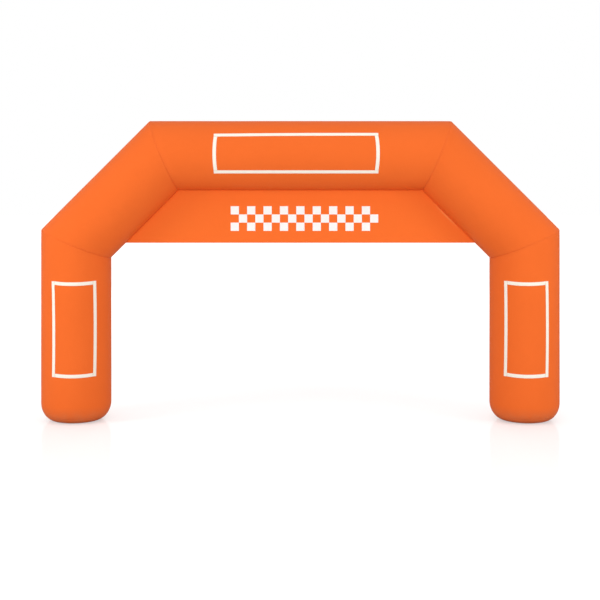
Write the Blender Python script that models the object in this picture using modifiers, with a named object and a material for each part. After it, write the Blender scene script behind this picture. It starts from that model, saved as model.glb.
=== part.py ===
# Inflatable gateway arch: five straight lengths of orange air tube sewn together at mitres,
# two feet, a taut cloth panel under the top tube, and three rectangles of white
# hook-and-loop tape that changeable banners press on to.
# Metres, +Z up, the front faces -Y, and the origin is on the ground midway between the feet.

import math

import bmesh
import bpy
from mathutils import Matrix, Vector

# Driving sizes of the whole arch
ARCH_WIDTH = 6.0
TUBE_DIAMETER = 0.80
LEG_BEND_HEIGHT = 2.04
SHOULDER_RISE = 1.02
PANEL_BOTTOM = 2.047

# Each bend turns the tube by the same angle, and its mitre shares the turn between both tubes
BEND = math.radians(45.0)
MITRE = BEND / 2

# The foot: the tube's end draws in over an elliptical curve on to a flat round patch
FOOT_CURVE_WIDTH = 0.17
FOOT_CURVE_HEIGHT = 0.21
FOOT_SEAM_ANGLE = math.radians(45.0)

# Cloth, tape and seams
PANEL_THICKNESS = 0.002
TAPE_WIDTH = 0.040
TAPE_THICKNESS = 0.002
SEAM_PINCH = 0.005
PIECE_GAP = 0.0003
TAPE_JOINT_GAP = 0.002

# How finely the round shapes are divided
TUBE_SIDES = 72
FOOT_STEPS = 12
TAPE_BOW_STEPS = 9
TAPE_TURN_STEP = math.radians(2.6)

# Sizes worked out from those above
TUBE_RADIUS = TUBE_DIAMETER / 2
LEG_X = ARCH_WIDTH / 2 - TUBE_RADIUS
SHOULDER_X = LEG_X - SHOULDER_RISE / math.tan(BEND)
TOP_HEIGHT = LEG_BEND_HEIGHT + SHOULDER_RISE
FOOT_FLAT_RADIUS = TUBE_RADIUS - FOOT_CURVE_WIDTH

# The centre line, from the left foot over the top to the right foot
LEFT_FOOT = Vector((-LEG_X, 0.0, 0.0))
LEFT_BEND = Vector((-LEG_X, 0.0, LEG_BEND_HEIGHT))
TOP_LEFT = Vector((-SHOULDER_X, 0.0, TOP_HEIGHT))
TOP_RIGHT = Vector((SHOULDER_X, 0.0, TOP_HEIGHT))
RIGHT_BEND = Vector((LEG_X, 0.0, LEG_BEND_HEIGHT))
RIGHT_FOOT = Vector((LEG_X, 0.0, 0.0))

ORANGE = (0.93, 0.16, 0.03, 1.0)
WHITE = (0.90, 0.88, 0.83, 1.0)


def clear_scene():
    for obj in list(bpy.data.objects):
        bpy.data.objects.remove(obj)


def new_collection(name):
    collection = bpy.data.collections.new(name)
    bpy.context.scene.collection.children.link(collection)
    return collection


def new_material(name, colour, roughness):
    material = bpy.data.materials.new(name)
    material.use_nodes = True
    shader = material.node_tree.nodes["Principled BSDF"]
    shader.inputs["Base Color"].default_value = colour
    shader.inputs["Roughness"].default_value = roughness
    shader.inputs["Metallic"].default_value = 0.0
    return material


def new_object(name, mesh, collection, material, parent=None):
    obj = bpy.data.objects.new(name, mesh)
    obj.data.materials.append(material)
    obj.parent = parent
    collection.objects.link(obj)
    return obj


def new_stand(name, location, turn, collection):
    """An empty that carries what is built around one tube. Its local Z runs along the tube."""
    stand = bpy.data.objects.new(name, None)
    stand.location = location
    stand.rotation_euler = (0.0, turn, 0.0)
    collection.objects.link(stand)
    return stand


def foot_outline():
    """(radius, height) down the foot's curve, from the straight tube to the flat patch."""
    points = []
    for step in range(FOOT_STEPS + 1):
        angle = step / FOOT_STEPS * math.pi / 2
        radius = FOOT_FLAT_RADIUS + FOOT_CURVE_WIDTH * math.cos(angle)
        height = FOOT_CURVE_HEIGHT * (1 - math.sin(angle))
        points.append((angle, radius, height))
    return points


def foot_seam():
    """(radius, height) of the seam that joins the leg's cloth to the foot's round patch."""
    radius = FOOT_FLAT_RADIUS + FOOT_CURVE_WIDTH * math.cos(FOOT_SEAM_ANGLE)
    height = FOOT_CURVE_HEIGHT * (1 - math.sin(FOOT_SEAM_ANGLE))
    return radius, height


def turned(outline):
    """A closed body from an outline that starts and ends on the local Z axis."""
    body = bmesh.new()
    corners = [body.verts.new((radius, 0.0, height)) for radius, height in outline]
    edges = [body.edges.new(pair) for pair in zip(corners, corners[1:])]
    bmesh.ops.spin(
        body,
        geom=corners + edges,
        cent=(0.0, 0.0, 0.0),
        axis=(0.0, 0.0, 1.0),
        angle=math.tau,
        steps=TUBE_SIDES,
        use_merge=True,
    )
    bmesh.ops.remove_doubles(body, verts=body.verts, dist=PIECE_GAP / 10)
    bmesh.ops.recalc_face_normals(body, faces=body.faces)
    return body


def cut_off(body, point, outward):
    """Cuts away what lies past a plane, half a gap short of it, and closes the end."""
    cut = bmesh.ops.bisect_plane(
        body,
        geom=body.verts[:] + body.edges[:] + body.faces[:],
        plane_co=point - outward * PIECE_GAP / 2,
        plane_no=outward,
        clear_outer=True,
    )
    rim = [item for item in cut["geom_cut"] if isinstance(item, bmesh.types.BMEdge)]
    bmesh.ops.contextual_create(body, geom=rim)


def mitre_at(height, side):
    """The plane of a mitre across a tube at this height: a point on it and its normal.

    Every tube bends towards its local +X. side is 1 at its far end and -1 at its near end.
    """
    return Vector((0.0, 0.0, height)), Vector((math.sin(MITRE), 0.0, side * math.cos(MITRE)))


def finish_tube(name, body, stand, collection, material):
    """Rounds over the seams, where the sewn cloth is drawn in."""
    bmesh.ops.recalc_face_normals(body, faces=body.faces)
    mesh = bpy.data.meshes.new(name)
    body.to_mesh(mesh)
    body.free()
    mesh.shade_smooth()
    mesh.set_sharp_from_angle(angle=math.radians(30.0))
    tube = new_object(name, mesh, collection, material, stand)
    pinch = tube.modifiers.new("Seam pinch", "BEVEL")
    pinch.width = SEAM_PINCH
    pinch.segments = 2
    pinch.limit_method = "ANGLE"
    pinch.angle_limit = math.radians(30.0)
    return tube


def straight_tube(name, length, stand, collection, material):
    """A length of tube with a mitre at both ends, from its stand up the stand's local Z."""
    body = bmesh.new()
    bmesh.ops.create_cone(
        body,
        cap_ends=True,
        segments=TUBE_SIDES,
        radius1=TUBE_RADIUS,
        radius2=TUBE_RADIUS,
        depth=length + 2 * TUBE_DIAMETER,
        matrix=Matrix.Translation((0.0, 0.0, length / 2)),
    )
    cut_off(body, *mitre_at(0.0, -1))
    cut_off(body, *mitre_at(length, 1))
    return finish_tube(name, body, stand, collection, material)


def leg_tube(name, stand, collection, material):
    """A leg stands on the seam of its foot and has a mitre at its top."""
    seam_radius, seam_height = foot_seam()
    past_mitre = LEG_BEND_HEIGHT + TUBE_DIAMETER
    outline = [(0.0, past_mitre), (TUBE_RADIUS, past_mitre)]
    for angle, radius, height in foot_outline():
        if angle < FOOT_SEAM_ANGLE - 1e-6:
            outline.append((radius, height))
    outline.append((seam_radius, seam_height))
    outline.append((0.0, seam_height))
    body = turned(outline)
    cut_off(body, *mitre_at(LEG_BEND_HEIGHT, 1))
    return finish_tube(name, body, stand, collection, material)


def foot_patch(name, stand, collection, material):
    """The round cloth that closes a leg, pressed flat where it stands on the ground."""
    seam_radius, seam_height = foot_seam()
    top = seam_height - PIECE_GAP
    outline = [(0.0, top), (seam_radius, top)]
    for angle, radius, height in foot_outline():
        if angle > FOOT_SEAM_ANGLE + 1e-6:
            outline.append((radius, height))
    outline.append((0.0, 0.0))
    return finish_tube(name, turned(outline), stand, collection, material)


def panel(name, collection, material):
    """The cloth under the top tube, sewn along it and down the inner side of both shoulders."""
    tube_underside = TOP_HEIGHT - TUBE_RADIUS - PIECE_GAP
    # The shoulder's inner side passes through the point that lies a radius below its centre line
    inner_reach = (TUBE_RADIUS + PIECE_GAP) / math.cos(BEND)
    top_half_width = SHOULDER_X + (TUBE_RADIUS + PIECE_GAP) - inner_reach
    bottom_half_width = top_half_width + (tube_underside - PANEL_BOTTOM) / math.tan(BEND)
    corners = [
        (-top_half_width, tube_underside),
        (top_half_width, tube_underside),
        (bottom_half_width, PANEL_BOTTOM),
        (-bottom_half_width, PANEL_BOTTOM),
    ]
    curve = bpy.data.curves.new(name, "CURVE")
    curve.dimensions = "2D"
    curve.fill_mode = "BOTH"
    curve.extrude = PANEL_THICKNESS / 2
    outline = curve.splines.new("POLY")
    outline.points.add(len(corners) - 1)
    for point, (across, up) in zip(outline.points, corners):
        point.co = (across, up, 0.0, 1.0)
    outline.use_cyclic_u = True
    cloth = new_object(name, curve, collection, material)
    cloth.rotation_euler = (math.radians(90.0), 0.0, 0.0)
    return cloth


# The tape rectangles, in the frame of the tube that each is sewn on. "low" and "high" are
# along the tube in metres, and "left" and "right" around it in degrees, from the front
# towards the tube's local +X, all to the tape's outer edges. Each bow is how far the middle
# of that strip strays towards the tube's local +Z or +X, and "slant" is how far the left
# strip's far end lies from its near end around the tube, all in metres. "strips" names the
# left, right, low and high strips as they lie on the standing arch.
TAPE_FRAMES = (
    {
        "name": "tape_left_leg", "strips": ("outer", "inner", "bottom", "top"),
        "low": 0.545, "high": 1.626, "left": -31.2, "right": 44.8,
        "bow_low": -0.008, "bow_high": -0.010, "bow_left": 0.008, "bow_right": 0.008,
        "slant": -0.006,
    },
    {
        "name": "tape_right_leg", "strips": ("inner", "outer", "bottom", "top"),
        "low": 0.545, "high": 1.626, "left": -46.2, "right": 29.8,
        "bow_low": -0.008, "bow_high": -0.010, "bow_left": 0.007, "bow_right": 0.007,
        "slant": 0.004,
    },
    {
        "name": "tape_top", "strips": ("upper", "lower", "left", "right"),
        "low": -0.979, "high": 0.881, "left": -36.4, "right": 32.8,
        "bow_low": -0.010, "bow_high": 0.012, "bow_left": -0.004, "bow_right": 0.0,
        "slant": -0.012,
    },
)


def on_tube(around, along, lift):
    """A place on a tube: metres around it from the front, metres along it, and height above it."""
    angle = around / TUBE_RADIUS
    radius = TUBE_RADIUS + lift
    return Vector((radius * math.sin(angle), -radius * math.cos(angle), along))


def tape_strip(name, start, end, bow, stand, collection, material):
    """One straight or bowed strip of tape from start to end, both (around, along) on the tube."""
    run = Vector(end) - Vector(start)
    side = Vector((-run.y, run.x)).normalized()
    if abs(run.x) > abs(run.y):
        steps = math.ceil(abs(run.x) / TUBE_RADIUS / TAPE_TURN_STEP)
        flat_turn = TAPE_TURN_STEP
        bow_towards = Vector((0.0, bow))
    else:
        # A strip along the tube stays flat across its width
        steps = TAPE_BOW_STEPS
        flat_turn = TAPE_WIDTH / TUBE_RADIUS
        bow_towards = Vector((bow, 0.0))
    # A flat stretch lies nearest the tube at its middle
    lift = PIECE_GAP + TUBE_RADIUS * (1 - math.cos(flat_turn / 2))
    strip = bmesh.new()
    bmesh.ops.create_grid(strip, x_segments=steps, y_segments=1, size=0.5)
    for vert in strip.verts:
        share = vert.co.x + 0.5
        place = Vector(start) + run * share + side * TAPE_WIDTH * vert.co.y
        place += bow_towards * 4 * share * (1 - share)
        vert.co = on_tube(place.x, place.y, lift)
    mesh = bpy.data.meshes.new(name)
    strip.to_mesh(mesh)
    strip.free()
    tape = new_object(name, mesh, collection, material, stand)
    wall = tape.modifiers.new("Tape thickness", "SOLIDIFY")
    wall.thickness = TAPE_THICKNESS
    wall.offset = 1.0
    return tape


def tape_frame(frame, stand, collection, material):
    """Four strips: two run the frame's full length along the tube, and two fit between them."""
    half = TAPE_WIDTH / 2
    low = frame["low"]
    high = frame["high"]
    left = math.radians(frame["left"]) * TUBE_RADIUS + half
    right = math.radians(frame["right"]) * TUBE_RADIUS - half
    slant = frame["slant"] / 2
    # The long strips have already bowed a little where the short ones meet them
    share = TAPE_WIDTH / (high - low)
    begun = 4 * share * (1 - share)
    inner_left = left + half + TAPE_JOINT_GAP + max(0.0, frame["bow_left"] * begun)
    inner_right = right - half - TAPE_JOINT_GAP + min(0.0, frame["bow_right"] * begun)
    runs = (
        ((left - slant, low), (left + slant, high), frame["bow_left"]),
        ((right, low), (right, high), frame["bow_right"]),
        ((inner_left - slant, low + half), (inner_right, low + half), frame["bow_low"]),
        ((inner_left + slant, high - half), (inner_right, high - half), frame["bow_high"]),
    )
    for strip, (start, end, bow) in zip(frame["strips"], runs):
        tape_strip(frame["name"] + "_" + strip, start, end, bow, stand, collection, material)


def build():
    clear_scene()
    arch = new_collection("Inflatable arch")
    tube_cloth = new_material("Orange coated cloth", ORANGE, 0.45)
    panel_cloth = new_material("Orange panel cloth", ORANGE, 0.6)
    white_tape = new_material("White hook-and-loop tape", WHITE, 0.85)

    # A tube's stand is where its centre line starts, turned so that local Z follows it. Local X
    # points to the inside of the arch, but for the right leg, which is turned about to face it.
    stand_at = {
        "leg_left": new_stand("stand_leg_left", LEFT_FOOT, 0.0, arch),
        "shoulder_left": new_stand("stand_shoulder_left", LEFT_BEND, BEND, arch),
        "top": new_stand("stand_top", TOP_LEFT, 2 * BEND, arch),
        "shoulder_right": new_stand("stand_shoulder_right", TOP_RIGHT, 3 * BEND, arch),
        "leg_right": new_stand("stand_leg_right", RIGHT_FOOT, 0.0, arch),
    }
    shoulder_length = (TOP_LEFT - LEFT_BEND).length
    straight_tube("shoulder_left", shoulder_length, stand_at["shoulder_left"], arch, tube_cloth)
    straight_tube("top_tube", 2 * SHOULDER_X, stand_at["top"], arch, tube_cloth)
    straight_tube("shoulder_right", shoulder_length, stand_at["shoulder_right"], arch, tube_cloth)
    for side, turn in (("left", 0.0), ("right", math.pi)):
        stand = stand_at["leg_" + side]
        leg = leg_tube("leg_" + side, stand, arch, tube_cloth)
        leg.rotation_euler = (0.0, 0.0, turn)
        foot_patch("foot_" + side, stand, arch, tube_cloth)

    panel("panel", arch, panel_cloth)

    top_middle = new_stand("stand_top_middle", (0.0, 0.0, TOP_HEIGHT), 2 * BEND, arch)
    tape_stands = (stand_at["leg_left"], stand_at["leg_right"], top_middle)
    for frame, stand in zip(TAPE_FRAMES, tape_stands):
        tape_frame(frame, stand, arch, white_tape)


build()
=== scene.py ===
# Inflatable gateway arch: five lengths of orange air tube, a cloth panel under the top one and
# white hook-and-loop tape for changeable banners. Metres, +Z up, the front faces -Y.

import math

import bmesh
import bpy
from mathutils import Matrix, Vector, noise


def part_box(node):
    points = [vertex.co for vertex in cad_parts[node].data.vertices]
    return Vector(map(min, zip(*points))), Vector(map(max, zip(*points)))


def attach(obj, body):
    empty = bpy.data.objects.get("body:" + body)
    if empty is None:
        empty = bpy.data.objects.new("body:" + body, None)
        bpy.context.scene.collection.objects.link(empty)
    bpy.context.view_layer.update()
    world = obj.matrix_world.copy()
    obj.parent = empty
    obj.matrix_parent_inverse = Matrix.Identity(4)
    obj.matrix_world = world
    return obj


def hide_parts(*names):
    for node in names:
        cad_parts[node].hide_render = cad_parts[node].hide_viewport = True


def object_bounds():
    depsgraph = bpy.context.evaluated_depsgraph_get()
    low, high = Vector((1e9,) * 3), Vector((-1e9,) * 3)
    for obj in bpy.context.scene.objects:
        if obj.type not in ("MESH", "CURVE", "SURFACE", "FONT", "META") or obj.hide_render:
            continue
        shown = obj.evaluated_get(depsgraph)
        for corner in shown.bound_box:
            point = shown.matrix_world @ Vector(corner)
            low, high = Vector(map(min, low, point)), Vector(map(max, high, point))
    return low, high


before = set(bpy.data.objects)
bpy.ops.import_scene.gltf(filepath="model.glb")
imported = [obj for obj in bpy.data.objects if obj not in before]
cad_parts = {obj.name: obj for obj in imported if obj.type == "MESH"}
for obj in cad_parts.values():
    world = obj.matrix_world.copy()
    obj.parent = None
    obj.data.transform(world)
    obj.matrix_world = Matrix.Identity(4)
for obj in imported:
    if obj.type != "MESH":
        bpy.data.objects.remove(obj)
cad_low, cad_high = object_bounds()

# Air tubes
# Polyester cloth coated with PVC, cut flat, closed along one seam at the back and sewn to its
# neighbours at the mitres. Air holds it taut, but for small puckers where a seam draws it in.

leg_low, leg_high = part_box("leg_left")
tube_radius = (leg_high.y - leg_low.y) / 2
leg_x = cad_high.x - tube_radius
top_height = cad_high.z - tube_radius
bend_height = 2.04
bend = math.radians(45)
mitre_slope = math.tan(bend / 2)
shoulder_x = leg_x - (top_height - bend_height) / math.tan(bend)
shoulder_length = (top_height - bend_height) / math.sin(bend)
solid_gap = 0.0003
half_gap = solid_gap / 2 / math.cos(bend / 2)

# The foot's curve, from the straight tube down to the flat patch it stands on
foot_curve_width = 0.17
foot_curve_height = 0.21
foot_flat_radius = tube_radius - foot_curve_width
foot_seam_turn = math.radians(45)
foot_seam_radius = foot_flat_radius + foot_curve_width * math.cos(foot_seam_turn)
foot_seam_height = foot_curve_height * (1 - math.sin(foot_seam_turn))

# How the sewing draws the cloth in, and how uneven the taut cloth is
seam_rounding = 0.008
seam_depth = 0.0025
seam_slack = 0.0006
slack_reach = 0.05
pucker_depth = 0.0020
pucker_reach = 0.045
puckers_round = 46
pucker_wander = 7
wander_scale = 3
depth_scale = 2
cloth_unevenness = 0.0008
uneven_round = 0.4
uneven_along = 0.3

# Each tube's centre line starts at its stand and runs along the stand's local Z. Local X points
# to the inside of the arch, or away from it on the right leg. "near" and "far" are where the
# centre line meets the seams, and each slope is how steeply that seam rises towards local X.
tubes = {
    "leg_left": {
        "start": (-leg_x, 0, 0), "turn": 0,
        "near": None, "far": bend_height, "near_slope": 0, "far_slope": -mitre_slope,
    },
    "shoulder_left": {
        "start": (-leg_x, 0, bend_height), "turn": bend,
        "near": 0, "far": shoulder_length, "near_slope": mitre_slope, "far_slope": -mitre_slope,
    },
    "top_tube": {
        "start": (-shoulder_x, 0, top_height), "turn": 2 * bend,
        "near": 0, "far": 2 * shoulder_x, "near_slope": mitre_slope, "far_slope": -mitre_slope,
    },
    "shoulder_right": {
        "start": (shoulder_x, 0, top_height), "turn": 3 * bend,
        "near": 0, "far": shoulder_length, "near_slope": mitre_slope, "far_slope": -mitre_slope,
    },
    "leg_right": {
        "start": (leg_x, 0, 0), "turn": 0,
        "near": None, "far": bend_height, "near_slope": 0, "far_slope": mitre_slope,
    },
}
for seed, tube in enumerate(tubes.values()):
    tube["stand"] = Matrix.Translation(tube["start"]) @ Matrix.Rotation(tube["turn"], 4, "Y")
    tube["seed"] = 10 * seed


def noise_round(turn, scale, seed):
    """Noise that meets itself after one turn round a tube."""
    return noise.noise(Vector((scale * math.cos(turn), scale * math.sin(turn), seed)))


def drawn_in(distance, turn, seed):
    """How far a seam this far away draws the cloth in, at an angle around the tube."""
    rounding = seam_depth * max(0, 1 - distance / seam_rounding) ** 2
    slack = seam_slack * math.exp(-distance / slack_reach)
    wander = noise_round(turn, wander_scale, seed)
    wave = 0.5 + 0.5 * math.cos(puckers_round * turn + pucker_wander * wander)
    uneven = 0.6 + 0.7 * noise_round(turn, depth_scale, seed + 5)
    fade = math.exp(-distance / pucker_reach) * (1 - math.exp(-distance / seam_rounding))
    return rounding + slack + pucker_depth * max(0, uneven) * wave * fade


def foot_radius(height):
    """The leg's radius at a height, where it curves in towards its foot."""
    rise = max(0, 1 - height / foot_curve_height)
    return foot_flat_radius + foot_curve_width * math.sqrt(1 - rise * rise)


def tube_ends(tube, x):
    """Where a tube's seams cross the line along it at local x."""
    far = tube["far"] + tube["far_slope"] * x - half_gap
    if tube["near"] is None:
        return foot_seam_height, far
    return tube["near"] + tube["near_slope"] * x + half_gap, far


def tube_skin(tube, turn, share):
    """A place on a tube's cloth, by the angle from the front and the share of the length."""
    near, far = tube_ends(tube, tube_radius * math.sin(turn))
    along = near + share * (far - near)
    inward = drawn_in(along - near, turn, tube["seed"])
    inward += drawn_in(far - along, turn, tube["seed"] + 3)
    place = Vector((math.sin(turn) / uneven_round, math.cos(turn) / uneven_round, 0))
    place.z = along / uneven_along + tube["seed"]
    inward += cloth_unevenness * (0.5 + 0.5 * noise.noise(place))
    radius = tube_radius - inward
    if tube["near"] is None:
        radius = foot_radius(along) - inward
    near, far = tube_ends(tube, radius * math.sin(turn))
    along = near + share * (far - near)
    return tube["stand"] @ Vector((radius * math.sin(turn), -radius * math.cos(turn), along))


def share_at(tube, turn, along):
    """The share of a tube's length at a distance along it."""
    near, far = tube_ends(tube, tube_radius * math.sin(turn))
    return (along - near) / (far - near)


def raised(skin, form, turn, share, height):
    """A place above the cloth that skin lays over a form, and the cloth's outward direction."""
    step = 1e-4
    place = skin(form, turn, share)
    if share < 0.5:
        along = skin(form, turn, share + step) - place
    else:
        along = place - skin(form, turn, share - step)
    normal = (skin(form, turn + step, share) - place).cross(along).normalized()
    return place + normal * height, normal


def cloth_grid(columns, rows, place):
    """A bmesh grid laid where place puts it. From the two shares across and up the grid, place
    gives a point, its spot on the flat cloth, and how far it lies from the nearest seam."""
    mesh = bmesh.new()
    uv_layer = mesh.loops.layers.uv.new("Cloth")
    seam_layer = mesh.verts.layers.float.new("seam_distance")
    bmesh.ops.create_grid(mesh, x_segments=columns, y_segments=rows, size=0.5, calc_uvs=False)
    flat = {}
    for vert in mesh.verts:
        vert.co, flat[vert], vert[seam_layer] = place(vert.co.x + 0.5, vert.co.y + 0.5)
    for face in mesh.faces:
        for loop in face.loops:
            loop[uv_layer].uv = flat[loop.vert]
    return mesh


def close_rims(mesh):
    """Joins the edges that meet where a grid is wrapped round, and closes each rim left open."""
    bmesh.ops.remove_doubles(mesh, verts=mesh.verts, dist=1e-5)
    rims = [edge for edge in mesh.edges if edge.is_boundary]
    bmesh.ops.holes_fill(mesh, edges=rims, sides=0)
    bmesh.ops.recalc_face_normals(mesh, faces=mesh.faces)


def finish_piece(name, mesh, material):
    """Makes a piece of a bmesh, shaded smooth but for its true edges."""
    data = bpy.data.meshes.new(name)
    mesh.to_mesh(data)
    mesh.free()
    data.shade_smooth()
    data.set_sharp_from_angle(angle=math.radians(40))
    data.materials.append(material)
    piece = bpy.data.objects.new(name, data)
    bpy.context.scene.collection.objects.link(piece)
    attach(piece, "root")
    return piece


def add_node(tree, kind, **settings):
    """A node in a tree, with its settings."""
    node = tree.nodes.new(kind)
    for key, value in settings.items():
        setattr(node, key, value)
    return node


def new_group(name, inputs, outputs):
    """An empty node group with named sockets, and its input and output nodes."""
    tree = bpy.data.node_groups.new(name, "ShaderNodeTree")
    for socket, kind in inputs.items():
        tree.interface.new_socket(socket, in_out="INPUT", socket_type="NodeSocket" + kind)
    for socket, kind in outputs.items():
        tree.interface.new_socket(socket, in_out="OUTPUT", socket_type="NodeSocket" + kind)
    return tree, add_node(tree, "NodeGroupInput"), add_node(tree, "NodeGroupOutput")


def set_range(node, **values):
    """Sets a Map Range node's sockets."""
    for socket, value in values.items():
        node.inputs[socket.replace("_", " ").title()].default_value = value


def weave_group():
    """Coated plain-weave cloth: the relief of its threads, its fine creases, its uneven coating."""
    tree, given, made = new_group(
        "Coated weave",
        {"Cloth": "Vector", "Place": "Vector", "Threads": "Float"},
        {"Relief": "Float", "Creases": "Float", "Coating": "Float"},
    )
    scaled = add_node(tree, "ShaderNodeVectorMath", operation="SCALE")
    split = add_node(tree, "ShaderNodeSeparateXYZ")
    tree.links.new(given.outputs["Cloth"], scaled.inputs[0])
    tree.links.new(given.outputs["Threads"], scaled.inputs["Scale"])
    tree.links.new(scaled.outputs[0], split.inputs[0])
    weave = add_node(tree, "ShaderNodeMath", operation="MULTIPLY")
    for number, axis in enumerate(("X", "Y")):
        wave = add_node(tree, "ShaderNodeMath", operation="SINE")
        tree.links.new(split.outputs[axis], wave.inputs[0])
        tree.links.new(wave.outputs[0], weave.inputs[number])
    tree.links.new(weave.outputs[0], made.inputs["Relief"])
    creases = add_node(tree, "ShaderNodeTexNoise")
    creases.inputs["Scale"].default_value = 7
    creases.inputs["Detail"].default_value = 4
    creases.inputs["Distortion"].default_value = 0.6
    tree.links.new(given.outputs["Place"], creases.inputs["Vector"])
    tree.links.new(creases.outputs["Fac"], made.inputs["Creases"])
    coating = add_node(tree, "ShaderNodeTexNoise")
    coating.inputs["Scale"].default_value = 1.7
    coating.inputs["Detail"].default_value = 3
    tree.links.new(given.outputs["Place"], coating.inputs["Vector"])
    tree.links.new(coating.outputs["Fac"], made.inputs["Coating"])
    return tree


def seam_group():
    """Cloth beside a sewn seam: the turned edge under it, the stitched groove, the fine puckers, and
    a painted shade that darkens the cloth in the groove.
    """
    tree, given, made = new_group(
        "Sewn seam",
        {"Cloth": "Vector", "Distance": "Float", "Stitch row": "Float"},
        {"Relief": "Float", "Seam shade": "Float"},
    )
    edge = add_node(tree, "ShaderNodeMapRange", interpolation_type="SMOOTHSTEP")
    set_range(edge, from_min=turned_edge[1], from_max=turned_edge[0], to_max=turned_edge_relief)
    tree.links.new(given.outputs["Distance"], edge.inputs["Value"])
    off_row = add_node(tree, "ShaderNodeMath", operation="COMPARE")
    off_row.inputs[2].default_value = groove_half_width
    tree.links.new(given.outputs["Distance"], off_row.inputs[0])
    tree.links.new(given.outputs["Stitch row"], off_row.inputs[1])
    grooved = add_node(tree, "ShaderNodeMath", operation="MULTIPLY_ADD")
    grooved.inputs[1].default_value = -groove_relief
    tree.links.new(off_row.outputs[0], grooved.inputs[0])
    tree.links.new(edge.outputs[0], grooved.inputs[2])
    stretched = add_node(tree, "ShaderNodeMapping")
    stretched.inputs["Scale"].default_value = (*fine_puckers, 1)
    tree.links.new(given.outputs["Cloth"], stretched.inputs["Vector"])
    puckers = add_node(tree, "ShaderNodeTexNoise")
    puckers.inputs["Scale"].default_value = 1
    puckers.inputs["Detail"].default_value = 2
    tree.links.new(stretched.outputs[0], puckers.inputs["Vector"])
    fade = add_node(tree, "ShaderNodeMapRange", interpolation_type="SMOOTHERSTEP")
    set_range(fade, from_min=fine_pucker_reach, from_max=0, to_max=fine_pucker_relief)
    tree.links.new(given.outputs["Distance"], fade.inputs["Value"])
    relief = add_node(tree, "ShaderNodeMath", operation="MULTIPLY_ADD")
    tree.links.new(puckers.outputs["Fac"], relief.inputs[0])
    tree.links.new(fade.outputs[0], relief.inputs[1])
    tree.links.new(grooved.outputs[0], relief.inputs[2])
    tree.links.new(relief.outputs[0], made.inputs["Relief"])
    # Painted shade: a darker colour within a few millimetres of the seam, where the groove falls
    # into shade.
    seam_shaded = add_node(tree, "ShaderNodeMapRange", interpolation_type="SMOOTHSTEP")
    set_range(seam_shaded, from_min=seam_shade_reach, from_max=0, to_max=0.5)
    tree.links.new(given.outputs["Distance"], seam_shaded.inputs["Value"])
    tree.links.new(seam_shaded.outputs[0], made.inputs["Seam shade"])
    return tree


def dust_group():
    """A mask of the dust that a foot picks up from the ground, by the height above it."""
    tree, given, made = new_group("Ground dust", {"Place": "Vector"}, {"Dust": "Float"})
    split = add_node(tree, "ShaderNodeSeparateXYZ")
    tree.links.new(given.outputs["Place"], split.inputs[0])
    low = add_node(tree, "ShaderNodeMapRange", interpolation_type="SMOOTHSTEP")
    set_range(low, from_min=dust_height, from_max=0, to_max=0.5)
    tree.links.new(split.outputs["Z"], low.inputs["Value"])
    patches = add_node(tree, "ShaderNodeTexNoise")
    patches.inputs["Scale"].default_value = 11
    patches.inputs["Detail"].default_value = 6
    tree.links.new(given.outputs["Place"], patches.inputs["Vector"])
    dust = add_node(tree, "ShaderNodeMath", operation="MULTIPLY")
    tree.links.new(low.outputs[0], dust.inputs[0])
    tree.links.new(patches.outputs["Fac"], dust.inputs[1])
    tree.links.new(dust.outputs[0], made.inputs["Dust"])
    return tree


def new_material(name):
    """A material, with its node tree and its Principled shader."""
    material = bpy.data.materials.new(name)
    material.use_nodes = True
    tree = material.node_tree
    return material, tree, tree.nodes["Principled BSDF"]


def mixed_colour(tree, share, colour, other):
    """A node that mixes two colours by a share."""
    mix = add_node(tree, "ShaderNodeMix", data_type="RGBA")
    mix.inputs[6].default_value = (*colour, 1)
    mix.inputs[7].default_value = (*other, 1)
    tree.links.new(share, mix.inputs[0])
    return mix


def spread_over(tree, value, low, high):
    """A node that spreads a value from 0 to 1 over a range."""
    spread = add_node(tree, "ShaderNodeMapRange")
    spread.inputs["To Min"].default_value = low
    spread.inputs["To Max"].default_value = high
    tree.links.new(value, spread.inputs["Value"])
    return spread.outputs[0]


def add_bump(tree, height, distance, strength, before=None):
    """A bump of a height in metres, laid over the normal that comes before it."""
    bump = add_node(tree, "ShaderNodeBump")
    bump.inputs["Distance"].default_value = distance
    bump.inputs["Strength"].default_value = strength
    tree.links.new(height, bump.inputs["Height"])
    if before:
        tree.links.new(before, bump.inputs["Normal"])
    return bump.outputs["Normal"]


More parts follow.
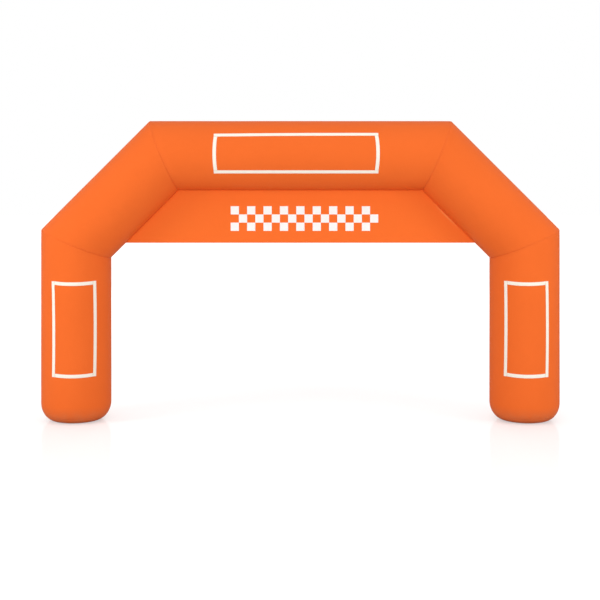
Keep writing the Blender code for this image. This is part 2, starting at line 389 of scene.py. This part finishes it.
def cloth_material(name, colour, worn_colour, roughness):
    """Coated cloth of one colour. Returns the material and the node that mixes its colour."""
    material, tree, shader = new_material(name)
    cloth_uv = add_node(tree, "ShaderNodeUVMap", uv_map="Cloth")
    place = add_node(tree, "ShaderNodeTexCoord")
    shader.inputs["Specular IOR Level"].default_value = coating_gloss
    weave = add_node(tree, "ShaderNodeGroup", node_tree=bpy.data.node_groups["Coated weave"])
    weave.inputs["Threads"].default_value = threads_turn
    tree.links.new(cloth_uv.outputs["UV"], weave.inputs["Cloth"])
    tree.links.new(place.outputs["Object"], weave.inputs["Place"])
    off_seam = add_node(tree, "ShaderNodeAttribute", attribute_name="seam_distance")
    seam = add_node(tree, "ShaderNodeGroup", node_tree=bpy.data.node_groups["Sewn seam"])
    seam.inputs["Stitch row"].default_value = seam_row_distance
    tree.links.new(cloth_uv.outputs["UV"], seam.inputs["Cloth"])
    tree.links.new(off_seam.outputs["Fac"], seam.inputs["Distance"])
    ground = add_node(tree, "ShaderNodeGroup", node_tree=bpy.data.node_groups["Ground dust"])
    tree.links.new(place.outputs["Object"], ground.inputs["Place"])
    coated = mixed_colour(tree, weave.outputs["Coating"], colour, worn_colour)
    # Painted shade: the cloth turns a darker orange along each seam's groove.
    seam_shaded = mixed_colour(tree, seam.outputs["Seam shade"], colour, painted_seam_shade)
    tree.links.new(coated.outputs[2], seam_shaded.inputs[6])
    tint = mixed_colour(tree, ground.outputs["Dust"], colour, ground_dust)
    tree.links.new(seam_shaded.outputs[2], tint.inputs[6])
    tree.links.new(tint.outputs[2], shader.inputs["Base Color"])
    smoother = roughness - roughness_spread
    rougher = roughness + roughness_spread
    rough = spread_over(tree, weave.outputs["Creases"], smoother, rougher)
    tree.links.new(rough, shader.inputs["Roughness"])
    creased = add_bump(tree, weave.outputs["Creases"], *crease_bump)
    sewn = add_bump(tree, seam.outputs["Relief"], *seam_bump, creased)
    woven = add_bump(tree, weave.outputs["Relief"], *weave_bump, sewn)
    tree.links.new(woven, shader.inputs["Normal"])
    return material, tint


# Beside a seam, in metres: where the edge turned under the cloth thins out, the groove that the
# stitches pull, how many fine puckers a metre has each way, and how far the puckers and the painted
# seam shade reach
turned_edge = (0.017, 0.022)
turned_edge_relief = 0.35
seam_row_distance = 0.010
groove_half_width = 0.0016
groove_relief = 0.35
fine_puckers = (75, 6)
fine_pucker_reach = 0.075
fine_pucker_relief = 1.6
seam_shade_reach = 0.006
dust_height = 0.22

# Height in metres and strength of each relief in the coating
crease_bump = (0.002, 0.8)
seam_bump = (0.001, 1.0)
weave_bump = (0.0002, 0.6)

thread_pitch = 0.0012
threads_turn = math.pi / thread_pitch
coating_gloss = 0.05
tube_roughness = 0.5
roughness_spread = 0.06
# A darker orange for the painted shade along each seam's groove
painted_seam_shade = (0.73, 0.125, 0.0210)
ground_dust = (0.50, 0.24, 0.12)
orange = (0.80, 0.142, 0.0245)
worn_orange = (0.76, 0.132, 0.0220)
weave_group()
seam_group()
dust_group()
tube_cloth, _ = cloth_material("Tube cloth", orange, worn_orange, tube_roughness)

tube_columns = 240
tube_rows = {
    "leg_left": 84, "leg_right": 84, "shoulder_left": 64, "shoulder_right": 64, "top_tube": 96,
}


def crowded_ends(share):
    """Shares of a length that crowd towards both of its ends, where the seams are."""
    return 0.5 - 0.5 * math.cos(math.pi * share)


for name, tube in tubes.items():

    def on_this_tube(across, up, tube=tube):
        turn = (2 * across - 1) * math.pi
        share = crowded_ends(up)
        near, far = tube_ends(tube, tube_radius * math.sin(turn))
        from_seam = min(share, 1 - share) * (far - near)
        return tube_skin(tube, turn, share), (turn * tube_radius, share * tube["far"]), from_seam

    tube_mesh = cloth_grid(tube_columns, tube_rows[name], on_this_tube)
    close_rims(tube_mesh)
    tube_piece = finish_piece(name + "_cloth", tube_mesh, tube_cloth)
    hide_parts(name)

# Feet
# A round patch of the same cloth closes each leg. Its seam runs round the curve at the leg's
# end, and the arch's weight presses it flat where it stands.


def foot_skin(side, turn, share):
    """A place on a foot's patch, from the middle of its underside (0) to its seam (1)."""
    radius = foot_seam_radius * share
    past_flat = max(0, radius - foot_flat_radius) / foot_curve_width
    height = foot_curve_height * (1 - math.sqrt(1 - past_flat * past_flat))
    edge = (1 - share) * foot_seam_radius
    radius -= drawn_in(edge, turn, 70 + side) * (radius > foot_flat_radius)
    return Vector((side * leg_x + radius * math.sin(turn), -radius * math.cos(turn), height))


foot_rows = 36
foot_path = 1.2 * foot_seam_radius
for node, side in (("foot_left", -1), ("foot_right", 1)):

    def on_this_foot(across, up, side=side):
        turn = (2 * across - 1) * math.pi
        share = math.sin(up * math.pi / 2)
        place = foot_skin(side, turn, share)
        return place, (turn * tube_radius, share * tube_radius), (1 - share) * foot_path

    foot_mesh = cloth_grid(tube_columns, foot_rows, on_this_foot)
    close_rims(foot_mesh)
    foot_piece = finish_piece(node + "_cloth", foot_mesh, tube_cloth)
    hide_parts(node)

# Closing seams
# The long seam up the back of each tube is covered with a strip of the same cloth, its edges
# turned under and sewn down.

far_from_seams = 0.1
# Across the strip from its middle and above the tube, in metres
seam_strip_profile = (
    (-0.016, 0.0002), (-0.016, 0.0010), (-0.0145, 0.0014), (-0.011, 0.0012), (0, 0.0011),
    (0.011, 0.0012), (0.0145, 0.0014), (0.016, 0.0010), (0.016, 0.0002), (0.006, 0.0001),
    (-0.006, 0.0001), (-0.016, 0.0002),
)


def strip_piece(name, profile, rows, run, material):
    """A strip with a profile across it. From the metres across it, the share of its length and
    the height, run gives what a place on a cloth grid has to have."""

    def on_strip(across, up):
        at, height = profile[round(across * (len(profile) - 1))]
        return run(at, up, height)

    mesh = cloth_grid(len(profile) - 1, rows, on_strip)
    close_rims(mesh)
    return finish_piece(name, mesh, material)


for name, tube in tubes.items():

    def up_the_back(at, up, height, tube=tube):
        turn = math.pi + at / tube_radius
        share = crowded_ends(up)
        place, _ = raised(tube_skin, tube, turn, share, height)
        return place, (at, share * tube["far"]), far_from_seams

    strip_name = name + "_seam_strip"
    rows = tube_rows[name]
    strip = strip_piece(strip_name, seam_strip_profile, rows, up_the_back, tube_cloth)

# Panel
# A single taut sheet of the same cloth, sewn along the top tube's underside and down the inner
# side of both shoulders. Its free lower edge is a turned and double-stitched hem. A chequered
# band is printed across the middle of its front.

panel_low, panel_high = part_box("panel")
panel_top_half = shoulder_x + tube_radius - (tube_radius + solid_gap) / math.cos(bend)
panel_thickness = 0.0016
panel_hem = 0.030
panel_hem_rise = 0.0008
hem_edge = 0.0005
panel_ripple = 0.004
ripple_width = 0.55
ripple_height = 0.8
ripple_seed = 3.7
ripple_fade = 0.25
panel_fold_place = 0.016
panel_fold_width = 0.010
panel_fold_rise = 0.004
panel_fold_below_top = 0.30
panel_fold_reach = 0.11
panel_overlap = 0.0005
corner_blend = 0.06
panel_columns = 400
panel_rows = 72
hem_rows = 8


def panel_half_width(height):
    """Half the panel's width at a height."""
    return panel_top_half + (panel_high.z - height) / math.tan(bend)


def sewn_shift(x, height):
    """How far the tubes' own cloth moves the panel's border, where seams draw the tubes in."""
    total = Vector((0, 0, 0))
    weights = 0
    for name in ("shoulder_left", "top_tube", "shoulder_right"):
        tube = tubes[name]
        local = tube["stand"].inverted() @ Vector((x, 0, height))
        weight = max(0, 1 - (local.x - tube_radius) / corner_blend) ** 2
        share = min(1, max(0, share_at(tube, math.pi / 2, local.z)))
        sewn = tube_skin(tube, math.pi / 2, share)
        plain = tube["stand"] @ Vector((tube_radius + panel_overlap, 0, local.z))
        outward = plain - tube["stand"] @ Vector((0, 0, local.z))
        total += (sewn - plain).project(outward) * weight * weight
        weights += weight
    return total / max(weights, 1e-6)


def panel_skin(x, height):
    """A place on the panel's front, which stands a little in front of the panel's own plane."""
    from_left = (panel_half_width(height) + x) * math.sin(bend)
    from_right = (panel_half_width(height) - x) * math.sin(bend)
    from_top = panel_high.z - height
    free = min(1, from_left / ripple_fade) * min(1, from_right / ripple_fade)
    free *= min(1, from_top / ripple_fade)
    ripple = noise.noise(Vector((x / ripple_width, height / ripple_height, ripple_seed)))
    front = panel_ripple * free * ripple
    off_fold = (from_right - panel_fold_place) / panel_fold_width
    along_fold = (from_top - panel_fold_below_top) / panel_fold_reach
    front += panel_fold_rise * math.exp(-off_fold * off_fold - along_fold * along_fold)
    if height - panel_low.z < panel_hem:
        front += panel_hem_rise
    return Vector((x, -front - panel_thickness / 2, height)) + sewn_shift(x, height)


def on_panel(across, up):
    """A place on the panel's grid, whose rows lie close together at the upper edge of the hem."""
    row = up * panel_rows
    above_hem = (row - hem_rows - 1) / (panel_rows - hem_rows - 1)
    height = panel_low.z + min(row, hem_rows) / hem_rows * (panel_hem - hem_edge)
    if row > hem_rows + 0.5:
        height = panel_low.z + panel_hem + hem_edge
        height += (panel_high.z - height) * above_hem
    x = (2 * across - 1) * panel_half_width(height)
    from_side = (panel_half_width(height) - abs(x)) * math.sin(bend)
    from_seam = min(from_side, panel_high.z - height)
    return panel_skin(x, height), (x, height), from_seam


def chequer_group():
    """A mask of a chequered band: 1 on the printed squares, 0 on the bare cloth."""
    tree, given, made = new_group(
        "Chequered band",
        {"Cloth": "Vector", "Square": "Float", "Columns": "Float", "Rows": "Float"},
        {"Print": "Float"},
    )
    split = add_node(tree, "ShaderNodeSeparateXYZ")
    tree.links.new(given.outputs["Cloth"], split.inputs[0])
    inside = []
    counts = []
    for axis, size in (("X", "Columns"), ("Y", "Rows")):
        counted = add_node(tree, "ShaderNodeMath", operation="DIVIDE")
        tree.links.new(split.outputs[axis], counted.inputs[0])
        tree.links.new(given.outputs["Square"], counted.inputs[1])
        above = add_node(tree, "ShaderNodeMath", operation="GREATER_THAN")
        above.inputs[1].default_value = 0
        tree.links.new(counted.outputs[0], above.inputs[0])
        below = add_node(tree, "ShaderNodeMath", operation="LESS_THAN")
        tree.links.new(counted.outputs[0], below.inputs[0])
        tree.links.new(given.outputs[size], below.inputs[1])
        whole = add_node(tree, "ShaderNodeMath", operation="FLOOR")
        tree.links.new(counted.outputs[0], whole.inputs[0])
        inside += [above, below]
        counts.append(whole)
    total = add_node(tree, "ShaderNodeMath", operation="ADD")
    tree.links.new(counts[0].outputs[0], total.inputs[0])
    tree.links.new(counts[1].outputs[0], total.inputs[1])
    odd = add_node(tree, "ShaderNodeMath", operation="FLOORED_MODULO")
    odd.inputs[1].default_value = 2
    tree.links.new(total.outputs[0], odd.inputs[0])
    mask = add_node(tree, "ShaderNodeMath", operation="LESS_THAN")
    mask.inputs[1].default_value = 0.5
    tree.links.new(odd.outputs[0], mask.inputs[0])
    for test in inside:
        both = add_node(tree, "ShaderNodeMath", operation="MULTIPLY")
        tree.links.new(mask.outputs[0], both.inputs[0])
        tree.links.new(test.outputs[0], both.inputs[1])
        mask = both
    tree.links.new(mask.outputs[0], made.inputs["Print"])
    return tree


def fold_sheen_group():
    """A mask of the painted highlight along the fold: a paler, sheen-like streak painted into the
    colour, 1 at its middle.
    """
    tree, given, made = new_group("Painted fold sheen", {"Cloth": "Vector"}, {"Crease": "Float"})
    middle_height = panel_high.z - panel_fold_below_top
    middle_x = panel_half_width(middle_height) - panel_fold_place / math.sin(bend)
    laid = add_node(tree, "ShaderNodeMapping", vector_type="TEXTURE")
    laid.inputs["Location"].default_value = (middle_x, middle_height, 0)
    laid.inputs["Rotation"].default_value = (0, 0, -bend)
    laid.inputs["Scale"].default_value = (sheen_half_length, sheen_half_width, 1)
    tree.links.new(given.outputs["Cloth"], laid.inputs["Vector"])
    off_middle = add_node(tree, "ShaderNodeVectorMath", operation="LENGTH")
    tree.links.new(laid.outputs[0], off_middle.inputs[0])
    fold_sheen = add_node(tree, "ShaderNodeMapRange", interpolation_type="SMOOTHSTEP")
    set_range(fold_sheen, from_min=1, from_max=0)
    tree.links.new(off_middle.outputs["Value"], fold_sheen.inputs["Value"])
    tree.links.new(fold_sheen.outputs[0], made.inputs["Crease"])
    return tree


square = 0.0952
band_columns = 18
band_rows = 3
band_left = 0.0475 - band_columns * square / 2
band_bottom = 2.329 - band_rows * square / 2
# The panel is the tubes' cloth, but its orange is made lighter: painted light that makes up for the
# shade the tubes cast over the panel.
panel_lit_orange = (0.86, 0.156, 0.0265)
panel_lit_worn = (0.83, 0.148, 0.0240)
# A paler orange painted along the panel's fold: a painted highlight standing in for the sheen on the
# fold
painted_fold_sheen = (0.84, 0.225, 0.060)
sheen_half_length = 0.28
sheen_half_width = 0.020
panel_roughness = 0.55
print_white = (0.85, 0.85, 0.83)
panel_back, _ = cloth_material("Panel cloth", panel_lit_orange, panel_lit_worn, panel_roughness)
panel_front, panel_tint = cloth_material(
    "Printed panel cloth", panel_lit_orange, panel_lit_worn, panel_roughness
)
tree = panel_front.node_tree
band = add_node(tree, "ShaderNodeGroup", node_tree=chequer_group())
band.inputs["Square"].default_value = square
band.inputs["Columns"].default_value = band_columns
band.inputs["Rows"].default_value = band_rows
band_place = add_node(tree, "ShaderNodeMapping")
band_place.inputs["Location"].default_value = (-band_left, -band_bottom, 0)
panel_uv = add_node(tree, "ShaderNodeUVMap", uv_map="Cloth")
tree.links.new(panel_uv.outputs["UV"], band_place.inputs[0])
tree.links.new(band_place.outputs[0], band.inputs["Cloth"])
# Painted highlight: the fold's sheen is painted in as a paler streak of colour.
fold_sheen = add_node(tree, "ShaderNodeGroup", node_tree=fold_sheen_group())
tree.links.new(panel_uv.outputs["UV"], fold_sheen.inputs["Cloth"])
creased = mixed_colour(tree, fold_sheen.outputs["Crease"], panel_lit_orange, painted_fold_sheen)
tree.links.new(panel_tint.outputs[2], creased.inputs[6])
printed = mixed_colour(tree, band.outputs["Print"], panel_lit_orange, print_white)
tree.links.new(creased.outputs[2], printed.inputs[6])
tree.links.new(printed.outputs[2], tree.nodes["Principled BSDF"].inputs["Base Color"])

panel_mesh = cloth_grid(panel_columns, panel_rows, on_panel)
panel_piece = finish_piece("panel_cloth", panel_mesh, panel_front)
panel_piece.data.materials.append(panel_back)
panel_wall = panel_piece.modifiers.new("Cloth thickness", "SOLIDIFY")
panel_wall.thickness = panel_thickness
panel_wall.offset = -1
panel_wall.material_offset = 1
panel_wall.material_offset_rim = 1
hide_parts("panel")

# Banner tape
# Twelve strips of white loop tape, 40 mm wide, frame three places where a banner can be pressed
# on. Each has a soft pile between two flat selvedges and is sewn down along both edges.

tape_width = 0.040
tape_gap = 0.002
# Across the strip from its middle and above the tube, in metres
tape_profile = (
    (-0.020, 0.0004), (-0.020, 0.0010), (-0.0195, 0.0012), (-0.0172, 0.0012), (-0.0166, 0.0018),
    (-0.0155, 0.0021), (-0.010, 0.0022), (0, 0.0022), (0.010, 0.0022), (0.0155, 0.0021),
    (0.0166, 0.0018), (0.0172, 0.0012), (0.0195, 0.0012), (0.020, 0.0010), (0.020, 0.0004),
    (0.010, 0.0003), (0, 0.0003), (-0.010, 0.0003), (-0.020, 0.0004),
)

# "low" and "high" are along the tube in metres, "left" and "right" around it in degrees from the
# front, all to the tape's outer edges. Each bow is how far the middle of that strip strays from
# a straight line, and "slant" is how far the left strip leans, in metres.
tape_frames = (
    {
        "name": "tape_left_leg", "tube": "leg_left", "strips": ("outer", "inner", "bottom", "top"),
        "low": 0.545, "high": 1.626, "left": -31.2, "right": 44.8,
        "bow_low": -0.008, "bow_high": -0.010, "bow_left": 0.008, "bow_right": 0.008,
        "slant": -0.006,
    },
    {
        "name": "tape_right_leg", "tube": "leg_right", "strips": ("inner", "outer", "bottom", "top"),
        "low": 0.545, "high": 1.626, "left": -46.2, "right": 29.8,
        "bow_low": -0.008, "bow_high": -0.010, "bow_left": 0.007, "bow_right": 0.007,
        "slant": 0.004,
    },
    {
        "name": "tape_top", "tube": "top_tube", "strips": ("upper", "lower", "left", "right"),
        "low": shoulder_x - 0.979, "high": shoulder_x + 0.881, "left": -36.4, "right": 32.8,
        "bow_low": -0.010, "bow_high": 0.012, "bow_left": -0.004, "bow_right": 0.0,
        "slant": -0.012,
    },
)


def tape_runs(outline):
    """The four strips of a rectangle: where each starts and ends on its tube, and its bow."""
    half = tape_width / 2
    low = outline["low"]
    high = outline["high"]
    left = math.radians(outline["left"]) * tube_radius + half
    right = math.radians(outline["right"]) * tube_radius - half
    slant = outline["slant"] / 2
    share = tape_width / (high - low)
    begun = 4 * share * (1 - share)
    inner_left = left + half + tape_gap + max(0, outline["bow_left"] * begun)
    inner_right = right - half - tape_gap + min(0, outline["bow_right"] * begun)
    return (
        ((left - slant, low), (left + slant, high), outline["bow_left"]),
        ((right, low), (right, high), outline["bow_right"]),
        ((inner_left - slant, low + half), (inner_right, low + half), outline["bow_low"]),
        ((inner_left + slant, high - half), (inner_right, high - half), outline["bow_high"]),
    )


def tape_spot(run, at, share):
    """Where on its tube a strip's point lies, by metres across it and share of its length."""
    start, end, bow = run
    line = Vector(end) - Vector(start)
    across = Vector((-line.y, line.x)).normalized()
    spot = Vector(start) + line * share + across * at
    bow_towards = Vector((0, bow)) if abs(line.x) > abs(line.y) else Vector((bow, 0))
    return spot + bow_towards * 4 * share * (1 - share)


def on_tape(tube, run, at, share, height):
    """A place on a strip and the outward direction there."""
    spot = tape_spot(run, at, share)
    turn = spot.x / tube_radius
    return raised(tube_skin, tube, turn, share_at(tube, turn, spot.y), height)


def tape_group():
    """Loop tape: the relief of its pile between two ribbed selvedges."""
    tree, given, made = new_group(
        "Loop pile",
        {"Cloth": "Vector", "Pile edge": "Float"},
        {"Relief": "Float", "Pile": "Float", "Shade": "Float"},
    )
    split = add_node(tree, "ShaderNodeSeparateXYZ")
    tree.links.new(given.outputs["Cloth"], split.inputs[0])
    off_middle = add_node(tree, "ShaderNodeMath", operation="ABSOLUTE")
    tree.links.new(split.outputs["X"], off_middle.inputs[0])
    pile = add_node(tree, "ShaderNodeMath", operation="LESS_THAN")
    tree.links.new(off_middle.outputs[0], pile.inputs[0])
    tree.links.new(given.outputs["Pile edge"], pile.inputs[1])
    loops = add_node(tree, "ShaderNodeTexNoise")
    loops.inputs["Scale"].default_value = 900
    loops.inputs["Detail"].default_value = 3
    loops.inputs["Distortion"].default_value = 1.5
    tree.links.new(given.outputs["Cloth"], loops.inputs["Vector"])
    ribs = add_node(tree, "ShaderNodeTexWave", bands_direction="Y")
    ribs.inputs["Scale"].default_value = 260
    tree.links.new(given.outputs["Cloth"], ribs.inputs["Vector"])
    relief = add_node(tree, "ShaderNodeMix", data_type="FLOAT")
    tree.links.new(pile.outputs[0], relief.inputs[0])
    tree.links.new(ribs.outputs["Fac"], relief.inputs[2])
    tree.links.new(loops.outputs["Fac"], relief.inputs[3])
    tree.links.new(relief.outputs[0], made.inputs["Relief"])
    tree.links.new(pile.outputs[0], made.inputs["Pile"])
    shade = add_node(tree, "ShaderNodeTexNoise")
    shade.inputs["Scale"].default_value = 14
    tree.links.new(given.outputs["Cloth"], shade.inputs["Vector"])
    tree.links.new(shade.outputs["Fac"], made.inputs["Shade"])
    return tree


tape_white = (0.86, 0.81, 0.71)
tape_worn = (0.81, 0.76, 0.67)
tape_bump = (0.0006, 0.9)
pile_half_width = 0.0166
white_tape, tree, shader = new_material("Loop tape")
cloth_uv = add_node(tree, "ShaderNodeUVMap", uv_map="Cloth")
loop_pile = add_node(tree, "ShaderNodeGroup", node_tree=tape_group())
loop_pile.inputs["Pile edge"].default_value = pile_half_width
tree.links.new(cloth_uv.outputs["UV"], loop_pile.inputs["Cloth"])
tape_tint = mixed_colour(tree, loop_pile.outputs["Shade"], tape_white, tape_worn)
tree.links.new(tape_tint.outputs[2], shader.inputs["Base Color"])
tape_rough = spread_over(tree, loop_pile.outputs["Pile"], 0.6, 0.95)
tree.links.new(tape_rough, shader.inputs["Roughness"])
raised_pile = add_bump(tree, loop_pile.outputs["Relief"], *tape_bump)
tree.links.new(raised_pile, shader.inputs["Normal"])
shader.inputs["Specular IOR Level"].default_value = 0.15
shader.inputs["Sheen Weight"].default_value = 0.1

tape_row_length = 0.010
strip_runs = []
for tape_frame in tape_frames:
    tube = tubes[tape_frame["tube"]]
    for side, run in zip(tape_frame["strips"], tape_runs(tape_frame)):
        length = (Vector(run[1]) - Vector(run[0])).length

        def along_tape(at, up, height, tube=tube, run=run, length=length):
            return on_tape(tube, run, at, up, height)[0], (at, up * length), far_from_seams

        node = tape_frame["name"] + "_" + side
        rows = math.ceil(length / tape_row_length)
        strip = strip_piece(node + "_strip", tape_profile, rows, along_tape, white_tape)
        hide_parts(node)
        strip_runs.append((tube, run, length))

# Stitching
# Lockstitched rows of thick bonded thread: beside every mitre and foot seam, on the closing
# strips, round the panel and along the tape. Orange on the cloth, white on the tape.

stitch_pitch = 0.0075
stitch_size = Vector((0.0064, 0.0019, 0.0015))
sewn_at_once = 40

# How far thread lies above cloth, and the height of the strips' and the tape's own surface
thread_rise = 0.0001
strip_top = 0.0013
pile_top = 0.0022
# From the middle of a closing strip and of the tape, and from the ends of the tape
strip_row = 0.0125
selvedge_row = 0.0183
tape_end_reach = 0.0165
tape_end_row = 0.004
# From the panel's hem edge, from its ends and from its sewn border
hem_thread_rows = (0.006, 0.024)
hem_row_end = 0.004
panel_edge_row = 0.012


def pour(few, stitches):
    """Moves a few stitches into the mesh that holds them all, which is quicker than one by one."""
    data = bpy.data.meshes.new("few_stitches")
    few.to_mesh(data)
    stitches.from_mesh(data)
    bpy.data.meshes.remove(data)
    few.clear()


def sew(stitches, path, samples):
    """Sews a row of stitches along a path, which gives a place and the outward direction there."""
    spots = [path(number / samples) for number in range(samples + 1)]
    shape = Matrix.Diagonal(stitch_size).to_4x4()
    few = bmesh.new()
    waiting = 0
    gone = 0
    for (start, normal), (end, _) in zip(spots, spots[1:]):
        along = (end - start).normalized()
        side = normal.cross(along).normalized()
        lie = Matrix((along, side, along.cross(side))).transposed().to_4x4()
        step = (end - start).length
        while gone < step:
            place = Matrix.Translation(start + along * gone) @ lie @ shape
            bmesh.ops.create_icosphere(few, subdivisions=1, radius=0.5, matrix=place)
            waiting += 1
            if waiting == sewn_at_once:
                pour(few, stitches)
                waiting = 0
            gone += stitch_pitch
        gone -= step
    pour(few, stitches)
    few.free()


def thread_material(name, colour, other):
    """Bonded thread: slightly glossy, twisted, uneven in shade from stitch to stitch."""
    material, tree, shader = new_material(name)
    place = add_node(tree, "ShaderNodeTexCoord")
    uneven = add_node(tree, "ShaderNodeTexNoise")
    uneven.inputs["Scale"].default_value = 60
    tree.links.new(place.outputs["Object"], uneven.inputs["Vector"])
    tint = mixed_colour(tree, uneven.outputs["Fac"], colour, other)
    tree.links.new(tint.outputs[2], shader.inputs["Base Color"])
    rough = spread_over(tree, uneven.outputs["Fac"], 0.4, 0.6)
    tree.links.new(rough, shader.inputs["Roughness"])
    return material


orange_thread = thread_material("Orange thread", (0.80, 0.140, 0.024), (0.74, 0.122, 0.020))
white_thread = thread_material("White thread", (0.80, 0.79, 0.73), (0.66, 0.65, 0.60))

mitre_rows = bmesh.new()
for tube in tubes.values():
    for end in ("near", "far"):
        if tube[end] is None:
            continue

        def beside_seam(round_share, tube=tube, end=end):
            turn = (2 * round_share - 1) * math.pi
            near, far = tube_ends(tube, tube_radius * math.sin(turn))
            share = seam_row_distance / (far - near)
            share = share if end == "near" else 1 - share
            return raised(tube_skin, tube, turn, share, thread_rise)

        sew(mitre_rows, beside_seam, 400)
finish_piece("mitre_stitching", mitre_rows, orange_thread)

foot_stitches = bmesh.new()
for name, side in (("leg_left", -1), ("leg_right", 1)):
    tube = tubes[name]

    def above_foot_seam(round_share, tube=tube):
        turn = (2 * round_share - 1) * math.pi
        share = share_at(tube, turn, foot_seam_height + seam_row_distance)
        return raised(tube_skin, tube, turn, share, thread_rise)

    def below_foot_seam(round_share, side=side):
        turn = (2 * round_share - 1) * math.pi
        share = 1 - 0.7 * seam_row_distance / foot_seam_radius
        return raised(foot_skin, side, turn, share, thread_rise)

    sew(foot_stitches, above_foot_seam, 300)
    sew(foot_stitches, below_foot_seam, 300)
finish_piece("foot_stitching", foot_stitches, orange_thread)

strip_stitches = bmesh.new()
for tube in tubes.values():
    for across in (-strip_row, strip_row):

        def on_seam_strip(share, tube=tube, across=across):
            turn = math.pi + across / tube_radius
            return raised(tube_skin, tube, turn, share, strip_top)

        sew(strip_stitches, on_seam_strip, 300)
finish_piece("closing_seam_stitching", strip_stitches, orange_thread)

panel_stitches = bmesh.new()
for above in hem_thread_rows:
    height = panel_low.z + above
    reach = panel_half_width(height) - hem_row_end

    def along_hem(share, height=height, reach=reach):
        return panel_skin((2 * share - 1) * reach, height), Vector((0, -1, 0))

    sew(panel_stitches, along_hem, 400)
top_row_height = panel_high.z - panel_edge_row
side_inset = panel_edge_row / math.sin(bend)


def along_top(share):
    """A place on the row under the top tube."""
    reach = panel_half_width(top_row_height) - side_inset
    return panel_skin((2 * share - 1) * reach, top_row_height), Vector((0, -1, 0))


sew(panel_stitches, along_top, 300)
for side in (-1, 1):

    def down_side(share, side=side):
        height = top_row_height + (panel_low.z + hem_row_end - top_row_height) * share
        return panel_skin(side * (panel_half_width(height) - side_inset), height), Vector((0, -1, 0))

    sew(panel_stitches, down_side, 120)
finish_piece("panel_stitching", panel_stitches, orange_thread)

tape_stitches = bmesh.new()
for tube, run, length in strip_runs:
    for across in (-selvedge_row, selvedge_row):

        def along_selvedge(share, tube=tube, run=run, across=across):
            return on_tape(tube, run, across, 0.003 + 0.994 * share, strip_top)

        sew(tape_stitches, along_selvedge, max(60, round(length / 0.01)))
    for end in (tape_end_row / length, 1 - tape_end_row / length):

        def across_tape(share, tube=tube, run=run, end=end):
            return on_tape(tube, run, tape_end_reach * (2 * share - 1), end, pile_top)

        sew(tape_stitches, across_tape, 8)
finish_piece("tape_stitching", tape_stitches, white_thread)

# Floor, light and camera
# A plain white studio. A softbox on either side lights the outer side of each leg, one above
# lights the top, and one far behind and one far in front fill in the rest. The camera stands
# level, 2.5 m up and 12.5 m in front of the arch, and is aimed past its middle by lens shift.

floor_size = 400.0
floor_mesh = bmesh.new()
bmesh.ops.create_grid(floor_mesh, x_segments=1, y_segments=1, size=floor_size / 2)
floor_data = bpy.data.meshes.new("floor")
floor_mesh.to_mesh(floor_data)
floor_mesh.free()
floor = bpy.data.objects.new("floor", floor_data)
floor_material = bpy.data.materials.new("Floor")
floor_material.use_nodes = True
floor_tree = floor_material.node_tree
floor_shader = floor_tree.nodes["Principled BSDF"]
floor_shader.inputs["Base Color"].default_value = (0.62, 0.62, 0.62, 1)
floor_shader.inputs["Roughness"].default_value = 0.10
floor_shader.inputs["Specular IOR Level"].default_value = 0.045
floor_shader.inputs["Emission Color"].default_value = (1, 1, 1, 1)
floor_seen = add_node(floor_tree, "ShaderNodeLightPath")
floor_place = add_node(floor_tree, "ShaderNodeTexCoord")
floor_distance = add_node(floor_tree, "ShaderNodeVectorMath", operation="LENGTH")
floor_tree.links.new(floor_place.outputs["Object"], floor_distance.inputs[0])
floor_white = add_node(floor_tree, "ShaderNodeMapRange", interpolation_type="SMOOTHSTEP")
set_range(floor_white, from_min=4, from_max=12, to_min=0.43, to_max=0.58)
floor_tree.links.new(floor_distance.outputs["Value"], floor_white.inputs["Value"])
floor_glow = add_node(floor_tree, "ShaderNodeMath", operation="MULTIPLY")
floor_tree.links.new(floor_white.outputs[0], floor_glow.inputs[1])
floor_tree.links.new(floor_seen.outputs["Is Camera Ray"], floor_glow.inputs[0])
floor_tree.links.new(floor_glow.outputs[0], floor_shader.inputs["Emission Strength"])
floor_data.materials.append(floor_material)
bpy.context.scene.collection.objects.link(floor)

world = bpy.data.worlds.new("Studio")
world.use_nodes = True
world_tree = world.node_tree
world_light = world_tree.nodes["Background"]
world_seen = add_node(world_tree, "ShaderNodeLightPath")
world_strength = spread_over(world_tree, world_seen.outputs["Is Camera Ray"], 0.75, 1.0)
world_light.inputs["Color"].default_value = (1, 1, 1, 1)
world_tree.links.new(world_strength, world_light.inputs["Strength"])
bpy.context.scene.world = world


def soft_light(name, place, target, width, height, power):
    """A rectangular softbox at a place, aimed at a target."""
    lamp = bpy.data.lights.new(name, "AREA")
    lamp.shape = "RECTANGLE"
    lamp.size = width
    lamp.size_y = height
    lamp.energy = power
    box = bpy.data.objects.new(name, lamp)
    box.location = place
    box.rotation_euler = (Vector(target) - Vector(place)).to_track_quat("-Z", "Y").to_euler()
    box.visible_glossy = False
    bpy.context.scene.collection.objects.link(box)


soft_light("left_key", (-7.5, -3.2, 3.2), (-2.6, 0, 1.6), 2.0, 2.0, 136)
soft_light("right_key", (7.2, -3.8, 3.2), (2.6, 0, 1.6), 2.0, 2.0, 100)
soft_light("top_key", (0, -2.4, 7.5), (0, 0, 3.0), 6.0, 1.2, 34)
soft_light("back_fill", (0, 20.0, 4.0), (0, 0, 1.8), 6.0, 3.0, 1200)
soft_light("front_fill", (0, -13.5, 3.5), (0, 0, 1.8), 4.0, 3.0, 640)

# In pixels of the picture: its width, how far away the eye is, and the point straight ahead
picture_width = 600
eye_distance = 1076.4
ahead_x = 300.4
ahead_y = 203.8
camera_data = bpy.data.cameras.new("Camera")
camera_data.sensor_width = 36
camera_data.lens = 36 * eye_distance / picture_width
camera_data.shift_x = (picture_width / 2 - ahead_x) / picture_width
camera_data.shift_y = (ahead_y - picture_width / 2) / picture_width
camera = bpy.data.objects.new("Camera", camera_data)
camera.location = (0, -12.5, 2.5)
camera.rotation_euler = (math.radians(90), 0, 0)
bpy.context.scene.collection.objects.link(camera)
bpy.context.scene.camera = camera
bpy.context.scene.view_settings.view_transform = "Standard"
